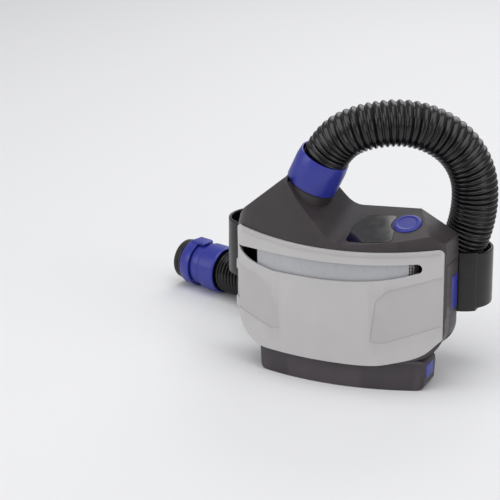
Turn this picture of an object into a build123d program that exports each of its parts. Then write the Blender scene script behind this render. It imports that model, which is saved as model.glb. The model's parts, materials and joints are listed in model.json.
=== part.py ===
"""Belt-worn powered air respirator: blower unit, battery, belt and breathing hose.

The origin is the centre of the battery's underside, which the unit stands on.
+X runs to the wearer's right side of the front face, -Y is the front, +Z is up.
"""

import math
import os

from build123d import *

os.makedirs("parts", exist_ok=True)

# ---------------------------------------------------------------- driving dimensions (mm)
# Unit, seen from the front
UNIT_LEFT = -121.5
UNIT_RIGHT = 96.0
UNIT_BOTTOM = 31.0
UNIT_BACK = 38.0
UNIT_FRONT = -26.0
FRONT_RADIUS = 235.0
FRONT_CENTRE_X = -12.0
SHOULDER_Z = 139.0
CREST_Z = 205.0
WALL = 2.5
BOTTOM_CORNER = 30.0
LEFT_CORNER = 28.0
RIGHT_CORNER = 5.0
CREST_LEFT_CORNER = 24.0
CREST_RIGHT_CORNER = 30.0
CREST_LEFT_STEP = 14.0
CREST_RIGHT_STEP = 8.0
CREST_FRONT_STEP = 9.0

# Sloping deck that carries the button and the display
DECK_TILT = 17.7
DECK_FRONT_Z = 143.6
DECK_RISE = 0.07

# Outlet neck, leaning towards the wearer's right
NECK_X = -44.7
NECK_Y = 12.0
NECK_Z = 188.4
NECK_LEAN = 25.0
NECK_RADIUS = 24.4
OUTLET_BORE = 18.0
SPIGOT_RADIUS = 20.6
SPIGOT_LENGTH = 12.0
SEAL_THICKNESS = 1.0
COLLAR_RADIUS = 25.2
COLLAR_LENGTH = 32.0

# Clearances
SEAM_GAP = 0.4
RUNNING_GAP = 0.3
SLIDE_GAP = 0.25

# Filter cover
COVER_STANDOFF = 0.2
COVER_SKIN = 2.2
COVER_LEFT = -116.8
COVER_RIGHT = 95.0
COVER_BOTTOM = 24.5
COVER_RIM = 5.0
COVER_CORNER = 5.0
PANEL_DEPTH = 0.7

# Filter stack behind the cover
FILTER_X = -12.5
FILTER_WIDTH = 159.0
FILTER_LOW = 40.0
FILTER_HEIGHT = 92.0
SCREEN_THICKNESS = 1.0
PREFILTER_THICKNESS = 3.0
LABEL_THICKNESS = 0.6
FRAME_THICKNESS = 14.0
FRAME_WALL = 4.0
GASKET_THICKNESS = 2.0
SEAT_THICKNESS = 2.0
SEAT_WIDTH = 170.0
SEAT_HEIGHT = 98.0
PLEAT_COUNT = 22

# Fan
FAN_X = -18.0
FAN_Z = 84.0
IMPELLER_RADIUS = 29.0
IMPELLER_HEIGHT = 13.0
SCROLL_RADIUS = 36.0
SCROLL_DEPTH = 17.5
SCROLL_WALL = 1.8
MOTOR_RADIUS = 14.0
SHAFT_RADIUS = 1.5
BLADE_COUNT = 24

# Battery
BATTERY_WIDTH = 172.0
BATTERY_FOOT = 165.0
BATTERY_X = -3.5
BATTERY_FOOT_CORNER = 7.0
PLAN_CORNER = 8.0
BATTERY_DEPTH = 50.0
BATTERY_HEIGHT = 30.4
BATTERY_WALL = 2.2
CELL_RADIUS = 9.0
CELL_LENGTH = 34.0
CELL_GROUP_X = -12.0

# Belt
BELT_LOW = 69.5
BELT_HEIGHT = 56.0
BELT_THICKNESS = 3.0
BELT_LOOP_WIDTH = 274.0
BELT_LOOP_DEPTH = 57.0
BELT_X = -17.5
BRACKET_PLATE = 3.0

# Breathing hose
HOSE_DIAMETER = 45.0
HOSE_WALL = 2.0
FAR_RADIUS = 24.6

# ---------------------------------------------------------------- shared frames
NECK_AXIS = Vector(math.sin(math.radians(NECK_LEAN)), 0, math.cos(math.radians(NECK_LEAN)))
NECK_PLANE = Plane(origin=(NECK_X, NECK_Y, NECK_Z), x_dir=(NECK_AXIS.Z, 0, -NECK_AXIS.X), z_dir=NECK_AXIS)
ARC_CENTRE_Y = UNIT_FRONT + FRONT_RADIUS
DECK_SLOPE = math.tan(math.radians(DECK_TILT))
DECK_BACK_DIR = Vector(0, 1, DECK_SLOPE).normalized()
DECK_SIDE_DIR = Vector(1, 0, DECK_RISE).normalized()
UNIT_CENTRE_X = (UNIT_LEFT + UNIT_RIGHT) / 2


def front_y(x, radius=FRONT_RADIUS):
    """Depth of the curved front face at a distance across the unit."""
    return ARC_CENTRE_Y - math.sqrt(radius**2 - (x - FRONT_CENTRE_X) ** 2)


def deck_point(x, y):
    """A point on the sloping deck."""
    return Vector(x, y, DECK_FRONT_Z + DECK_RISE * x + DECK_SLOPE * (y - UNIT_FRONT))


def deck_plane(x, y):
    """Plane lying in the deck, looking out of it."""
    return Plane(origin=deck_point(x, y), x_dir=DECK_SIDE_DIR, z_dir=DECK_SIDE_DIR.cross(DECK_BACK_DIR))


def save(builder, name):
    """Label a finished piece and write its file."""
    builder.part.label = name
    export_step(builder.part, f"parts/{name}.step")


def plan_face(left, right, front, left_corner, right_corner, inset=0.0):
    """Outline with a curved front, seen from above."""
    centre_y = front + FRONT_RADIUS
    ends = [centre_y - math.sqrt(FRONT_RADIUS**2 - (x - FRONT_CENTRE_X) ** 2) for x in (left, right)]
    with BuildSketch() as outline:
        with BuildLine():
            ThreePointArc((left, ends[0]), (FRONT_CENTRE_X, front), (right, ends[1]))
            Polyline((right, ends[1]), (right, UNIT_BACK), (left, UNIT_BACK), (left, ends[0]))
        make_face()
        front_corners = outline.vertices().filter_by(lambda corner: corner.Y < UNIT_BACK - 1).sort_by(Axis.X)
        fillet(front_corners[0], left_corner)
        front_corners = outline.vertices().filter_by(lambda corner: corner.Y < UNIT_BACK - 1).sort_by(Axis.X)
        fillet(front_corners[-1], right_corner)
        if inset:
            offset(amount=-inset)
    return outline.sketch


def front_face(inset=0.0):
    """Outline of the unit seen from the front, before the deck is cut."""
    with BuildSketch() as outline:
        with BuildLine():
            Polyline((UNIT_LEFT + 5, UNIT_BOTTOM), (UNIT_LEFT, 144), (UNIT_LEFT + 11, 158), (-64, 198), (-56, 201),
                (30, 201), (58, 168), (UNIT_RIGHT, 148), (UNIT_RIGHT, UNIT_BOTTOM), (UNIT_LEFT + 5, UNIT_BOTTOM))
        make_face()
        fillet(outline.vertices().group_by(Axis.Y)[0], BOTTOM_CORNER)
        if inset:
            offset(amount=-inset)
    return outline.sketch


def above_deck_face(drop):
    """Region above the deck and its rise to the neck, seen from the front."""
    deck_z = DECK_FRONT_Z - drop
    with BuildSketch() as region:
        with BuildLine():
            rise = Spline((-60, deck_z + 47.4), (-39.4, deck_z + 26), (-24.4, deck_z + 13), (0, deck_z),
                tangents=[(0.62, -0.78), (1, DECK_RISE)])
            Polyline(rise @ 1, (130, deck_z + 130 * DECK_RISE), (130, 260), (-60, 260), rise @ 0)
        make_face()
    return region.sketch


def unit_form(inset):
    """Outer form of the unit, or its inside when inset by a wall."""
    wide = plan_face(UNIT_LEFT, UNIT_RIGHT, UNIT_FRONT, LEFT_CORNER, RIGHT_CORNER, inset)
    narrow = plan_face(UNIT_LEFT + CREST_LEFT_STEP, UNIT_RIGHT - CREST_RIGHT_STEP, UNIT_FRONT + CREST_FRONT_STEP,
        CREST_LEFT_CORNER, CREST_RIGHT_CORNER, inset)
    with BuildPart() as form:
        with BuildSketch(Plane.XY.offset(UNIT_BOTTOM + inset)):
            add(wide)
        extrude(amount=SHOULDER_Z - UNIT_BOTTOM - inset)
        with BuildSketch(Plane.XY.offset(SHOULDER_Z)):
            add(wide)
        with BuildSketch(Plane.XY.offset(CREST_Z)):
            add(narrow)
        loft()
        with BuildSketch(Plane.XZ):
            add(front_face(inset))
        extrude(amount=2 * UNIT_BACK + 60, both=True, mode=Mode.INTERSECT)
        start = 60.0
        with BuildSketch(Plane.XZ.offset(start)):
            add(above_deck_face(DECK_SLOPE * (start + UNIT_FRONT) + inset))
        extrude(amount=220, dir=DECK_BACK_DIR, mode=Mode.SUBTRACT)
    return form.part


def arc_slab(gap, thickness, center_x, width, low, height, corner):
    """Slab curved like the front face, a gap behind its outer surface."""
    outer_radius = FRONT_RADIUS - gap
    with BuildPart() as slab:
        with BuildSketch(Plane.XY.offset(low)):
            with Locations((FRONT_CENTRE_X, ARC_CENTRE_Y)):
                Circle(outer_radius)
                Circle(outer_radius - thickness, mode=Mode.SUBTRACT)
        extrude(amount=height)
        with BuildSketch(Plane.XZ):
            with Locations((center_x, low + height / 2)):
                RectangleRounded(width, height, corner)
        extrude(amount=UNIT_BACK - 3, mode=Mode.INTERSECT, both=True)
    return slab.part


def cover_face():
    """Outline of the filter cover seen from the front."""
    with BuildSketch() as outline:
        with BuildLine():
            top = ThreePointArc((COVER_LEFT, 142.5), (-6, 138.2), (COVER_RIGHT, 144.5))
            right = Line(top @ 1, (COVER_RIGHT, 53))
            corner = Spline(right @ 1, (81, 39.5), (54, 29.5), (10, COVER_BOTTOM), tangents=[(-0.75, -0.66), (-1, 0)])
            bottom = Line(corner @ 1, (-78, COVER_BOTTOM))
            left_corner = Spline(bottom @ 1, (-104, 36), (COVER_LEFT + 3, 60), tangents=[(-1, 0), (0.03, 1)])
            Line(left_corner @ 1, top @ 0)
        make_face()
        fillet(outline.vertices().filter_by(lambda spot: spot.Y > SHOULDER_Z), COVER_CORNER)
    return outline.sketch


def slot_face():
    """Outline of the air inlet slot in the cover."""
    with BuildSketch() as outline:
        with BuildLine():
            upper = Spline((-114, 121.5), (-100, 122.8), (-42, 125), (24, 127), (72, 130.3))
            lower = Spline((72, 120.5), (46, 113.5), (24, 110), (-18, 107), (-72, 105.5))
            ThreePointArc(upper @ 1, (77, 125.6), lower @ 0)
            Spline(lower @ 1, (-94, 109), (-107, 114.5), upper @ 0)
        make_face()
    return outline.sketch


# ---------------------------------------------------------------- unit casing
SPLIT_Y = 16.0
REAR_TOP = 148.0
PANEL_LOW = 72.5
PANEL_HIGH = 126.0
PANEL_FRONT = 4.0
PANEL_THICKNESS = 2.6
LATCH_LOW = 76.0
LATCH_HIGH = 110.0
LATCH_FRONT = 19.0
LATCH_BACK = 35.0
BUTTON_X = 52.8
BUTTON_Y = 13.0
BUTTON_RADIUS = 14.0
DISPLAY_DEPTH = 1.6
HINGE_X = -117.3
HINGE_Y = 4.5
HINGE_LOW = 52.0
HINGE_HIGH = 108.0
HINGE_PIN_RADIUS = 1.2
KNUCKLE_RADIUS = 2.4
KNUCKLE_LENGTH = 9.0
OPENING_LOW = UNIT_BOTTOM + WALL + COVER_RIM
OPENING_HIGH = 133.5
outer_form = unit_form(0)
inner_form = unit_form(WALL)
cover_outline = cover_face()
button_plane = deck_plane(BUTTON_X, BUTTON_Y)
display_plane = deck_plane(0, UNIT_FRONT)
knuckle_levels = (HINGE_LOW + KNUCKLE_LENGTH, HINGE_HIGH - KNUCKLE_LENGTH)


def display_face(grow=0.0):
    """Outline of the display window on the deck, cut round the button's bezel."""
    button_spot = display_plane.to_local_coords(button_plane.origin)
    with BuildSketch() as outline:
        with BuildLine():
            Polyline((2, 7), (3, 36), (12, 51), (40, 53), (48, 10), (22, 6.5), (2, 7))
        make_face()
        fillet(outline.vertices(), 5)
        with Locations((button_spot.X, button_spot.Y)):
            Circle(BUTTON_RADIUS + 1.6, mode=Mode.SUBTRACT)
        if grow:
            offset(amount=grow)
    return outline.sketch


with BuildPart() as casing:
    add(outer_form)
    with BuildSketch(NECK_PLANE.offset(-26)):
        Circle(NECK_RADIUS)
    extrude(amount=25)
    add(inner_form, mode=Mode.SUBTRACT)
    # the shoulder stops level with the neck's end, so the collar can turn over it
    with BuildSketch(NECK_PLANE.offset(-SEAL_THICKNESS)):
        Circle(COLLAR_RADIUS + 4)
    extrude(amount=COLLAR_LENGTH, mode=Mode.SUBTRACT)
    with BuildSketch(NECK_PLANE.offset(-SEAL_THICKNESS)):
        Circle(SPIGOT_RADIUS)
    extrude(amount=SEAL_THICKNESS + SPIGOT_LENGTH)
    with BuildSketch(NECK_PLANE.offset(-34)):
        Circle(OUTLET_BORE)
    extrude(amount=60, mode=Mode.SUBTRACT)
    # three bayonet lugs on the spigot
    with BuildSketch(NECK_PLANE.offset(6)):
        with PolarLocations(SPIGOT_RADIUS + 0.5, 3):
            Rectangle(2, 7)
    extrude(amount=2.5)
    # opening behind the filter cover, which leaves a rim for it to close on
    with BuildSketch(Plane.XZ) as opening:
        with Locations(((COVER_LEFT + COVER_RIGHT) / 2, (OPENING_LOW + OPENING_HIGH) / 2)):
            Rectangle(COVER_RIGHT - COVER_LEFT - 2 * COVER_RIM, OPENING_HIGH - OPENING_LOW)
        fillet(opening.vertices().group_by(Axis.Z)[0], 24)
        fillet(opening.vertices().group_by(Axis.Z)[-1], 5)
    extrude(amount=90, mode=Mode.SUBTRACT)
    # pockets for the cover's hinge knuckles, and the pin's bore
    for level in knuckle_levels:
        with BuildSketch(Plane.XY.offset(level - KNUCKLE_LENGTH / 2 - RUNNING_GAP)):
            with Locations((HINGE_X, HINGE_Y)):
                Circle(KNUCKLE_RADIUS + 2 * RUNNING_GAP)
            with Locations((HINGE_X + 4, HINGE_Y - 6)):
                Rectangle(9, 12)
        extrude(amount=KNUCKLE_LENGTH + 2 * RUNNING_GAP, mode=Mode.SUBTRACT)
    with BuildSketch(Plane.XY.offset(HINGE_LOW)):
        with Locations((HINGE_X, HINGE_Y)):
            Circle(HINGE_PIN_RADIUS + 0.05)
    extrude(amount=HINGE_HIGH - HINGE_LOW, mode=Mode.SUBTRACT)
    # side panel, display and button seats
    with Locations((UNIT_RIGHT, (PANEL_FRONT + UNIT_BACK - WALL) / 2, (PANEL_LOW + PANEL_HIGH) / 2)):
        Box(4 * WALL, UNIT_BACK - WALL - PANEL_FRONT, PANEL_HIGH - PANEL_LOW, mode=Mode.SUBTRACT)
    with BuildSketch(display_plane.offset(-DISPLAY_DEPTH)):
        add(display_face(SEAM_GAP / 2))
    extrude(amount=6, mode=Mode.SUBTRACT)
    with BuildSketch(button_plane.offset(-8)):
        Circle(BUTTON_RADIUS + RUNNING_GAP)
    extrude(amount=20, mode=Mode.SUBTRACT)
    # slot for the battery's contacts
    with Locations((0, 8, UNIT_BOTTOM)):
        Box(46, 12, 4 * WALL, mode=Mode.SUBTRACT)

with BuildPart() as rear_shell:
    add(casing.part)
    with Locations((0, SPLIT_Y + 50, REAR_TOP - 100)):
        Box(400, 100, 200, mode=Mode.INTERSECT)
save(rear_shell, "rear_shell")

with BuildPart() as front_housing:
    add(casing.part)
    with Locations((0, SPLIT_Y - SEAM_GAP + 50, REAR_TOP + SEAM_GAP - 100)):
        Box(400, 100, 200, mode=Mode.SUBTRACT)
save(front_housing, "front_housing")

with BuildPart() as latch_panel:
    panel_x = UNIT_RIGHT + 0.6 - PANEL_THICKNESS / 2
    with Locations((panel_x, (PANEL_FRONT + UNIT_BACK - WALL) / 2, (PANEL_LOW + PANEL_HIGH) / 2)):
        Box(PANEL_THICKNESS, UNIT_BACK - WALL - PANEL_FRONT - SEAM_GAP, PANEL_HIGH - PANEL_LOW - SEAM_GAP)
    chamfer(latch_panel.faces().sort_by(Axis.X)[-1].edges(), 0.5)
    with Locations((panel_x, (LATCH_FRONT + LATCH_BACK) / 2, (LATCH_LOW + LATCH_HIGH) / 2)):
        Box(9, LATCH_BACK - LATCH_FRONT, LATCH_HIGH - LATCH_LOW, mode=Mode.SUBTRACT)
save(latch_panel, "latch_panel")

# ---------------------------------------------------------------- filter cover and filter
CATCH_LOW = 84.0
CATCH_HIGH = 100.0
CATCH_X = 87.0
CATCH_THICKNESS = 2.0
CATCH_BACK = 8.0
slot_outline = slot_face()
cover_plan = plan_face(UNIT_LEFT, UNIT_RIGHT, UNIT_FRONT, LEFT_CORNER, RIGHT_CORNER, -COVER_STANDOFF - COVER_SKIN)
cover_inside = plan_face(UNIT_LEFT, UNIT_RIGHT, UNIT_FRONT, LEFT_CORNER, RIGHT_CORNER, -COVER_STANDOFF)
panel_floor = plan_face(UNIT_LEFT, UNIT_RIGHT, UNIT_FRONT, LEFT_CORNER, RIGHT_CORNER, -COVER_STANDOFF - COVER_SKIN + PANEL_DEPTH)

# shallow panels pressed into the cover, one towards each end
with BuildPart() as cover_panels:
    with BuildSketch(Plane.XY):
        add(cover_plan)
        add(panel_floor, mode=Mode.SUBTRACT)
    extrude(amount=SHOULDER_Z)
    with BuildSketch(Plane.XZ.offset(-12)):
        with BuildLine():
            Polyline((-130, 108), (-84, 95), (-73, 84), (-63, 50), (-72, 46.5), (-130, 62), (-130, 108))
        make_face()
        with BuildLine():
            Polyline((110, 123), (45, 102), (35, 91), (30, 50), (42, 48.5), (110, 73), (110, 123))
        make_face()
    extrude(amount=90, mode=Mode.INTERSECT)

with BuildPart() as filter_cover:
    with BuildSketch(Plane.XY.offset(COVER_BOTTOM - 5)):
        add(cover_plan)
        add(cover_inside, mode=Mode.SUBTRACT)
    extrude(amount=150)
    with BuildSketch(Plane.XZ.offset(-12)):
        add(cover_outline)
    extrude(amount=90, mode=Mode.INTERSECT)
    with BuildSketch(Plane.XZ):
        add(slot_outline)
    extrude(amount=90, mode=Mode.SUBTRACT)
    add(cover_panels.part, mode=Mode.SUBTRACT)
    # hinge knuckles, joined to the skin by short webs
    for level in knuckle_levels:
        with BuildSketch(Plane.XY.offset(level - KNUCKLE_LENGTH / 2)):
            with Locations((HINGE_X, HINGE_Y)):
                Circle(KNUCKLE_RADIUS)
            with BuildLine():
                Polyline((HINGE_X - 1, HINGE_Y - 2), (HINGE_X + 2, HINGE_Y - 7), (HINGE_X + 5.4, HINGE_Y - 9),
                    (HINGE_X + 5.4, HINGE_Y - 5.6), (HINGE_X + 2, HINGE_Y), (HINGE_X - 1, HINGE_Y - 2))
            make_face()
            with Locations((HINGE_X, HINGE_Y)):
                Circle(HINGE_PIN_RADIUS + 0.05, mode=Mode.SUBTRACT)
        extrude(amount=KNUCKLE_LENGTH)
    # catch that the latch holds
    with BuildSketch(Plane.XY.offset(CATCH_LOW)):
        with BuildLine():
            Polyline((CATCH_X, front_y(CATCH_X) - 1), (CATCH_X, CATCH_BACK - 2), (CATCH_X - 2.3, CATCH_BACK - 2),
                (CATCH_X - 2.3, CATCH_BACK), (CATCH_X + CATCH_THICKNESS, CATCH_BACK),
                (CATCH_X + CATCH_THICKNESS, front_y(CATCH_X) - 1), (CATCH_X, front_y(CATCH_X) - 1))
        make_face()
    extrude(amount=CATCH_HIGH - CATCH_LOW)
save(filter_cover, "filter_cover")

with BuildPart() as cover_hinge_pin:
    with BuildSketch(Plane.XY.offset(HINGE_LOW)):
        with Locations((HINGE_X, HINGE_Y)):
            Circle(HINGE_PIN_RADIUS)
    extrude(amount=HINGE_HIGH - HINGE_LOW)
save(cover_hinge_pin, "cover_hinge_pin")

label_gap = 0.8
screen_gap = label_gap + LABEL_THICKNESS
prefilter_gap = screen_gap + SCREEN_THICKNESS
frame_gap = prefilter_gap + PREFILTER_THICKNESS
gasket_gap = frame_gap + FRAME_THICKNESS
seat_gap = gasket_gap + GASKET_THICKNESS + 0.1
filter_label_slab = arc_slab(label_gap, LABEL_THICKNESS, FILTER_X - 1, FILTER_WIDTH - 4, 103.5, 27, 3)
screen_slab = arc_slab(screen_gap, SCREEN_THICKNESS, FILTER_X, FILTER_WIDTH, FILTER_LOW, FILTER_HEIGHT, 8)
prefilter_slab = arc_slab(prefilter_gap, PREFILTER_THICKNESS, FILTER_X, FILTER_WIDTH - 4, FILTER_LOW + 2,
    FILTER_HEIGHT - 4, 6)
frame_slab = arc_slab(frame_gap, FRAME_THICKNESS, FILTER_X, FILTER_WIDTH, FILTER_LOW, FILTER_HEIGHT, 8)
frame_hollow = arc_slab(frame_gap - 1, FRAME_THICKNESS + 2, FILTER_X, FILTER_WIDTH - 2 * FRAME_WALL,
    FILTER_LOW + FRAME_WALL, FILTER_HEIGHT - 2 * FRAME_WALL, 6)
pleat_block = arc_slab(frame_gap + 0.5, FRAME_THICKNESS - 1, FILTER_X, FILTER_WIDTH - 2 * FRAME_WALL,
    FILTER_LOW + FRAME_WALL, FILTER_HEIGHT - 2 * FRAME_WALL, 6)
gasket_slab = arc_slab(gasket_gap, GASKET_THICKNESS, FILTER_X, FILTER_WIDTH, FILTER_LOW, FILTER_HEIGHT, 8)
gasket_hollow = arc_slab(gasket_gap - 1, GASKET_THICKNESS + 2, FILTER_X, FILTER_WIDTH - 2 * FRAME_WALL,
    FILTER_LOW + FRAME_WALL, FILTER_HEIGHT - 2 * FRAME_WALL, 6)
seat_slab = arc_slab(seat_gap, SEAT_THICKNESS, FILTER_X, SEAT_WIDTH, UNIT_BOTTOM + WALL + 1, SEAT_HEIGHT, 6)

with BuildPart() as filter_label:
    add(filter_label_slab)
save(filter_label, "filter_label")

with BuildPart() as spark_arrestor:
    add(screen_slab)
save(spark_arrestor, "spark_arrestor")

with BuildPart() as prefilter:
    add(prefilter_slab)
save(prefilter, "prefilter")

with BuildPart() as filter_frame:
    add(frame_slab)
    add(frame_hollow, mode=Mode.SUBTRACT)
save(filter_frame, "filter_frame")

with BuildPart() as filter_pleats:
    add(pleat_block)
    # grooves between the pleats, from the front and the back in turn
    pitch = (FILTER_WIDTH - 2 * FRAME_WALL - 6) / PLEAT_COUNT
    for index in range(PLEAT_COUNT):
        groove_x = FILTER_X + (index - (PLEAT_COUNT - 1) / 2) * pitch
        groove_y = front_y(groove_x) + frame_gap + (0.5 if index % 2 else FRAME_THICKNESS - 0.5)
        with Locations((groove_x, groove_y, FILTER_LOW + FILTER_HEIGHT / 2)):
            Box(pitch * 0.55, 2 * (FRAME_THICKNESS - 5), FILTER_HEIGHT - 2 * FRAME_WALL - 6, mode=Mode.SUBTRACT)
save(filter_pleats, "filter_pleats")

with BuildPart() as filter_gasket:
    add(gasket_slab)
    add(gasket_hollow, mode=Mode.SUBTRACT)
save(filter_gasket, "filter_gasket")

with BuildPart() as filter_seat:
    add(seat_slab)
    with BuildSketch(Plane.XZ.offset(20)):
        with Locations((FAN_X, FAN_Z)):
            Circle(21)
    extrude(amount=-60, mode=Mode.SUBTRACT)
save(filter_seat, "filter_seat")

# ---------------------------------------------------------------- cover latch
LATCH_TRAVEL = 2.5
ARM_X = CATCH_X - 2.6
ARM_THICKNESS = 2.0
with BuildPart() as cover_latch:
    pad_x = UNIT_RIGHT + 1.0
    pad_mid = ((LATCH_FRONT + LATCH_BACK) / 2, (LATCH_LOW + LATCH_HIGH) / 2)
    with Locations((pad_x - 2.5, *pad_mid)):
        Box(5, LATCH_BACK - LATCH_FRONT - 2 * SLIDE_GAP, LATCH_HIGH - LATCH_LOW - 2 * SLIDE_GAP)
    chamfer(cover_latch.faces().sort_by(Axis.X)[-1].edges(), 0.6)
    # stem and arm that reach forward to the catch
    with BuildSketch(Plane.XY.offset(CATCH_LOW + 2)):
        with BuildLine():
            Polyline((pad_x - 4, 22), (ARM_X - 3.6, 22), (ARM_X - 3.6, 3), (ARM_X - 0.2, 3), (ARM_X - 0.2, 5.6),
                (ARM_X - 3.6 + ARM_THICKNESS, 5.6), (ARM_X - 3.6 + ARM_THICKNESS, 20), (pad_x - 4, 20), (pad_x - 4, 22))
        make_face()
    extrude(amount=CATCH_HIGH - CATCH_LOW - 4)
save(cover_latch, "cover_latch")


def coil_spring(plane, radius, wire, length, turns):
    """Round-wire compression spring standing on a plane."""
    path = Helix(pitch=(length - wire) / turns, height=length - wire, radius=radius)
    with BuildPart() as spring:
        with BuildLine(Plane.XY) as line:
            add(path)
        with BuildSketch(Plane(origin=path @ 0, z_dir=path % 0)):
            Circle(wire / 2)
        sweep(path=path, is_frenet=True)
    return plane * (Pos(0, 0, wire / 2) * spring.part)


latch_spring_shape = coil_spring(Plane(origin=(ARM_X - 3.8, 21, 92), z_dir=(-1, 0, 0)), 3, 0.7, 10.8, 5)
with BuildPart() as cover_latch_spring:
    add(latch_spring_shape)
save(cover_latch_spring, "cover_latch_spring")

# ---------------------------------------------------------------- deck: button, display, boards
BUTTON_TRAVEL = 1.5
BUTTON_PROUD = 1.2
with BuildPart() as on_off_button:
    with BuildSketch(button_plane.offset(-4)):
        Circle(BUTTON_RADIUS)
    extrude(amount=4 + BUTTON_PROUD)
    fillet(on_off_button.faces().sort_by(Axis.Z)[-1].edges(), 1.0)
    with BuildSketch(button_plane.offset(-6)):
        Circle(3)
    extrude(amount=2)
save(on_off_button, "on_off_button")

with BuildPart() as display_window:
    with BuildSketch(display_plane.offset(-DISPLAY_DEPTH)):
        add(display_face(-SEAM_GAP / 2))
    extrude(amount=DISPLAY_DEPTH + 0.2)
save(display_window, "display_window")

board_plane = button_plane.offset(-11.4)
with BuildPart() as display_board:
    with BuildSketch(board_plane):
        with Locations((-14, -1)):
            RectangleRounded(62, 34, 3)
    extrude(amount=1.6)
save(display_board, "display_board")

with BuildPart() as button_switch:
    with BuildSketch(board_plane.offset(1.6)):
        Rectangle(7, 7)
    extrude(amount=2)
    with BuildSketch(board_plane.offset(3.6)):
        Circle(1.6)
    extrude(amount=0.2)
save(button_switch, "button_switch")

button_spring_shape = coil_spring(board_plane.offset(1.65), 6.5, 0.6, 5.6, 3.5)
with BuildPart() as button_spring:
    add(button_spring_shape)
save(button_spring, "button_spring")

with BuildPart() as display_lights:
    for bar in range(5):
        with BuildSketch(board_plane.offset(1.6)):
            with Locations((-42 + 5.5 * bar, -6)):
                Rectangle(3, 1.6)
            with Locations((-42 + 5.5 * bar, 2)):
                Rectangle(3, 1.6)
        extrude(amount=1.2)
save(display_lights, "display_lights")

with BuildPart() as control_board:
    with Locations((50, 31, 86)):
        Box(58, 1.6, 72)
    with Locations((40, 29.2, 100)):
        Box(14, 2, 14)
    with Locations((64, 27.7, 66)):
        Box(16, 5, 10)
save(control_board, "control_board")

board_corners = [(50 + dx, 86 + dz) for dx in (-26, 26) for dz in (-33, 33)]
with BuildPart() as board_screws:
    with BuildSketch(Plane.XZ.offset(-30.2)):
        with Locations(*board_corners):
            Circle(2.4)
    extrude(amount=1.6)
save(board_screws, "board_screws")

with BuildPart() as alarm_sounder:
    with BuildSketch(Plane.XZ.offset(-30.2)):
        with Locations((70, 108)):
            Circle(8)
    extrude(amount=7)
    with BuildSketch(Plane.XZ.offset(-23.2)):
        with Locations((70, 108)):
            Circle(1.5)
    extrude(amount=-1.5, mode=Mode.SUBTRACT)
save(alarm_sounder, "alarm_sounder")

# ---------------------------------------------------------------- fan
LID_FRONT = 5.2
LID_THICKNESS = 1.8
SCROLL_FRONT = LID_FRONT + LID_THICKNESS
SCROLL_BACK = SCROLL_FRONT + SCROLL_DEPTH
EXIT_LEFT = FAN_X - SCROLL_RADIUS
EXIT_WIDTH = 32.0
EXIT_TOP = 122.0
MOTOR_DEPTH = 10.0


def scroll_face(inset=0.0):
    """Fan housing outline seen from the front: a drum with an upward exit on its left."""
    with BuildSketch() as outline:
        with Locations((FAN_X, FAN_Z)):
            Circle(SCROLL_RADIUS - inset)
        with Locations((EXIT_LEFT + EXIT_WIDTH / 2, (FAN_Z + EXIT_TOP) / 2)):
            Rectangle(EXIT_WIDTH - 2 * inset, EXIT_TOP - FAN_Z)
    return outline.sketch


with BuildPart() as fan_scroll:
    with BuildSketch(Plane.XZ.offset(-SCROLL_BACK)):
        add(scroll_face())
    extrude(amount=SCROLL_DEPTH)
    with BuildSketch(Plane.XZ.offset(-SCROLL_BACK + SCROLL_WALL)):
        add(scroll_face(SCROLL_WALL))
    extrude(amount=SCROLL_DEPTH, mode=Mode.SUBTRACT)
    with BuildSketch(Plane.XZ.offset(-SCROLL_BACK)):
        with Locations((FAN_X, FAN_Z)):
            Circle(SHAFT_RADIUS + 1)
    extrude(amount=SCROLL_WALL, mode=Mode.SUBTRACT)
save(fan_scroll, "fan_scroll")

with BuildPart() as fan_lid:
    with BuildSketch(Plane.XZ.offset(-SCROLL_FRONT)):
        add(scroll_face())
        with Locations((FAN_X, FAN_Z)):
            Circle(20, mode=Mode.SUBTRACT)
    extrude(amount=LID_THICKNESS)
save(fan_lid, "fan_lid")

impeller_back = SCROLL_BACK - SCROLL_WALL - 1.2
with BuildPart() as impeller:
    with BuildSketch(Plane.XZ.offset(-impeller_back)):
        with Locations((FAN_X, FAN_Z)):
            Circle(IMPELLER_RADIUS)
            Circle(SHAFT_RADIUS, mode=Mode.SUBTRACT)
    extrude(amount=1.4)
    with BuildSketch(Plane.XZ.offset(-impeller_back + 1.4)):
        with Locations((FAN_X, FAN_Z)):
            Circle(6)
            Circle(SHAFT_RADIUS, mode=Mode.SUBTRACT)
            with PolarLocations(IMPELLER_RADIUS - 6, BLADE_COUNT):
                Rectangle(10, 1.2, rotation=38)
    extrude(amount=IMPELLER_HEIGHT - 3.2)
    with BuildSketch(Plane.XZ.offset(-impeller_back + IMPELLER_HEIGHT - 1.8)):
        with Locations((FAN_X, FAN_Z)):
            Circle(IMPELLER_RADIUS)
            Circle(IMPELLER_RADIUS - 11, mode=Mode.SUBTRACT)
    extrude(amount=1.4)
save(impeller, "impeller")

with BuildPart() as motor_shaft:
    with BuildSketch(Plane.XZ.offset(-SCROLL_BACK - 4)):
        with Locations((FAN_X, FAN_Z)):
            Circle(SHAFT_RADIUS)
    extrude(amount=16)
save(motor_shaft, "motor_shaft")

with BuildPart() as motor:
    with BuildSketch(Plane.XZ.offset(-SCROLL_BACK - MOTOR_DEPTH)):
        with Locations((FAN_X, FAN_Z)):
            Circle(MOTOR_RADIUS)
    extrude(amount=MOTOR_DEPTH)
    with BuildSketch(Plane.XZ.offset(-SCROLL_BACK - 4.3)):
        with Locations((FAN_X, FAN_Z)):
            Circle(SHAFT_RADIUS + 0.05)
    extrude(amount=4.3, mode=Mode.SUBTRACT)
save(motor, "motor")

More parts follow.
